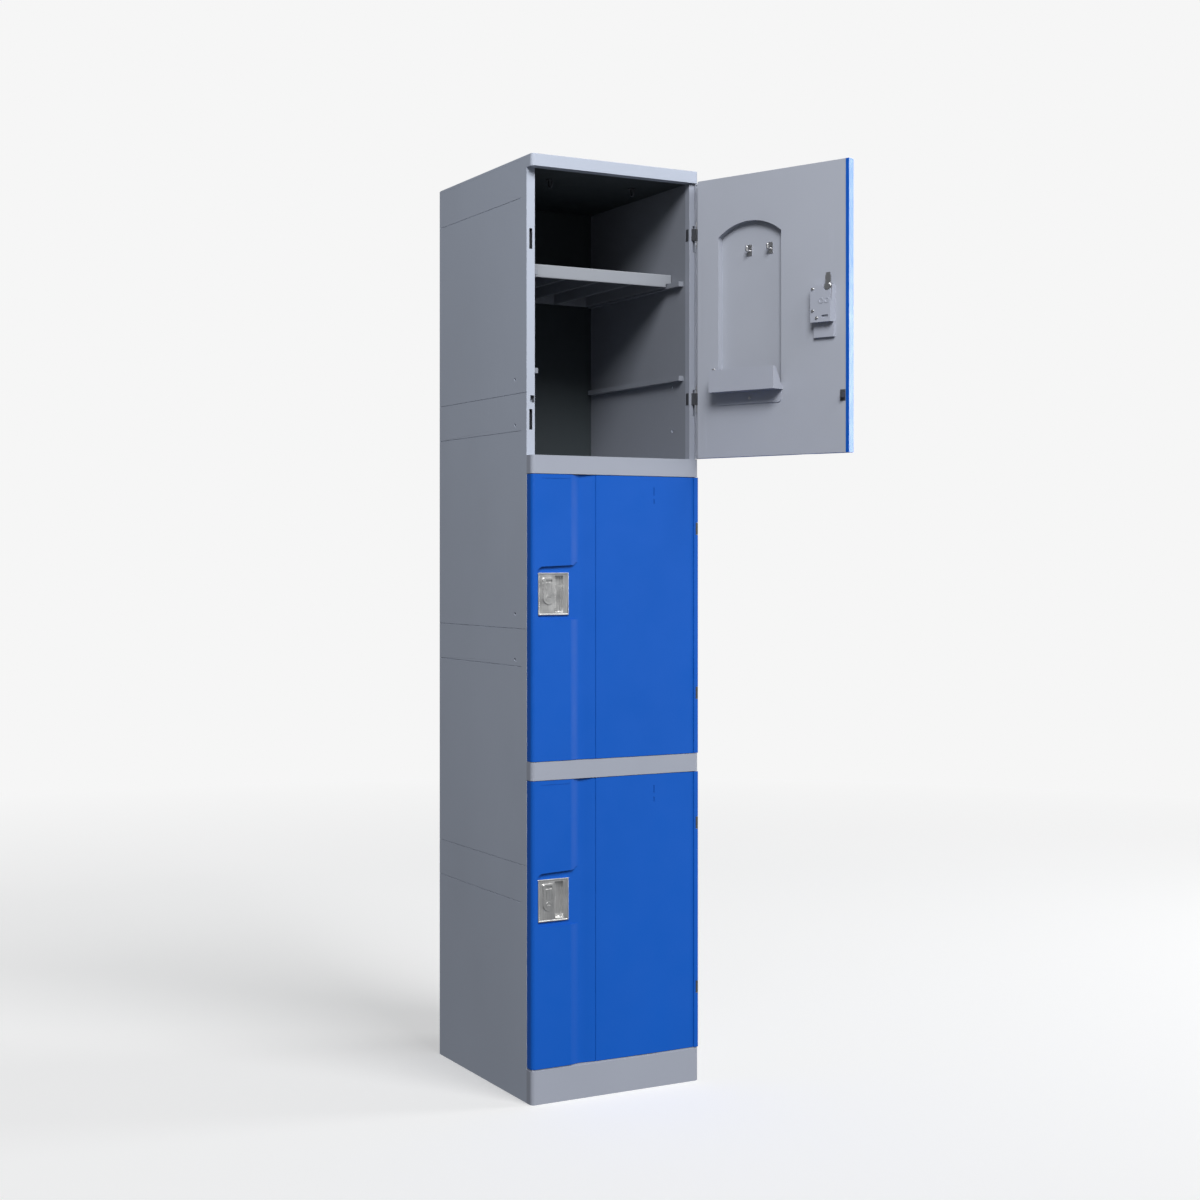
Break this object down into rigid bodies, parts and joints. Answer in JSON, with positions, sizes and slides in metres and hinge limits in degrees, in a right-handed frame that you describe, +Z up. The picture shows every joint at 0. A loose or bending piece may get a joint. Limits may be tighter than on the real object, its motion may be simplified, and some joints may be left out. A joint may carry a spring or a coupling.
{
  "type": "locker cabinet",
  "caption": "Tall narrow storage cabinet of stacked grey moulded compartments with blue hinged doors, turn locks, pocket trays, loose shelves and coat hooks.",
  "frame": {"origin": "on the floor, at the centre of the cabinet's width and depth", "axes": "+Z up along the height, -Y out of the front, +X to the right seen from the front"},
  "size_m": [0.5153, 0.7935, 1.85],
  "materials": {
    "panel_grey": "fine moulded texture",
    "bar_grey": "fine moulded texture",
    "shelf_grey": "fine moulded texture",
    "door_blue": "satin moulded plastic",
    "liner_grey": "satin moulded plastic",
    "fitting_grey": "satin moulded plastic",
    "satin_metal": "satin",
    "steel": "plain",
    "dark_plastic": "satin"
  },
  "bodies": {
    "cabinet": {"left_side_1": "panel_grey", "left_side_2": "panel_grey", "left_side_3": "panel_grey", "left_side_4": "panel_grey", "right_side_1": "panel_grey", "right_side_2": "panel_grey", "right_side_3": "panel_grey", "right_side_4": "panel_grey", "back_bottom": "panel_grey", "back_middle": "panel_grey", "back_top": "panel_grey", "base_plinth": "bar_grey", "floor_panel": "panel_grey", "divider_lower": "bar_grey", "divider_upper": "bar_grey", "top_cover": "bar_grey", "shelf_bottom": "shelf_grey", "shelf_middle": "shelf_grey", "shelf_top": "shelf_grey", "hinge_post_bottom": "bar_grey", "hinge_post_middle": "bar_grey", "hinge_post_top": "bar_grey", "hinge_lugs": "dark_plastic", "hinge_pins": "steel", "coat_hooks": "dark_plastic", "frame_screws": "steel"},
    "door_bottom": {"door_skin_bottom": "door_blue", "door_liner_bottom": "liner_grey", "lock_plate_bottom": "satin_metal", "lock_housing_bottom": "fitting_grey", "tray_bottom": "fitting_grey", "door_hooks_bottom": "steel", "door_catch_bottom": "dark_plastic", "door_screws_bottom": "steel"},
    "lock_bottom": {"lock_lever_bottom": "satin_metal", "lock_bar_bottom": "steel"},
    "door_middle": {"door_skin_middle": "door_blue", "door_liner_middle": "liner_grey", "lock_plate_middle": "satin_metal", "lock_housing_middle": "fitting_grey", "tray_middle": "fitting_grey", "door_hooks_middle": "steel", "door_catch_middle": "dark_plastic", "door_screws_middle": "steel"},
    "lock_middle": {"lock_lever_middle": "satin_metal", "lock_bar_middle": "steel"},
    "door_top": {"door_skin_top": "door_blue", "door_liner_top": "liner_grey", "lock_plate_top": "satin_metal", "lock_housing_top": "fitting_grey", "tray_top": "fitting_grey", "door_hooks_top": "steel", "door_catch_top": "dark_plastic", "door_screws_top": "steel"},
    "lock_top": {"lock_lever_top": "satin_metal", "lock_bar_top": "steel"}
  },
  "joints": [
    {"name": "door_bottom_hinge", "type": "hinge", "parent": "cabinet", "child": "door_bottom", "pos_m": [0.1868, -0.2168, 0.349], "axis": [0, 0, 1], "range_deg": [0, 165]},
    {"name": "lock_bottom_turn", "type": "hinge", "parent": "door_bottom", "child": "lock_bottom", "pos_m": [-0.1515, -0.2, 0.387], "axis": [0, 1, 0], "range_deg": [0, 90]},
    {"name": "door_middle_hinge", "type": "hinge", "parent": "cabinet", "child": "door_middle", "pos_m": [0.1868, -0.2168, 0.947], "axis": [0, 0, 1], "range_deg": [0, 165]},
    {"name": "lock_middle_turn", "type": "hinge", "parent": "door_middle", "child": "lock_middle", "pos_m": [-0.1515, -0.2, 0.985], "axis": [0, 1, 0], "range_deg": [0, 90]},
    {"name": "door_top_hinge", "type": "hinge", "parent": "cabinet", "child": "door_top", "pos_m": [0.1868, -0.2168, 1.545], "axis": [0, 0, 1], "range_deg": [-111.5, 53.5]},
    {"name": "lock_top_turn", "type": "hinge", "parent": "door_top", "child": "lock_top", "pos_m": [0.29516, -0.53772, 1.583], "axis": [-0.9304, -0.3665, 0], "range_deg": [0, 90]}
  ]
}
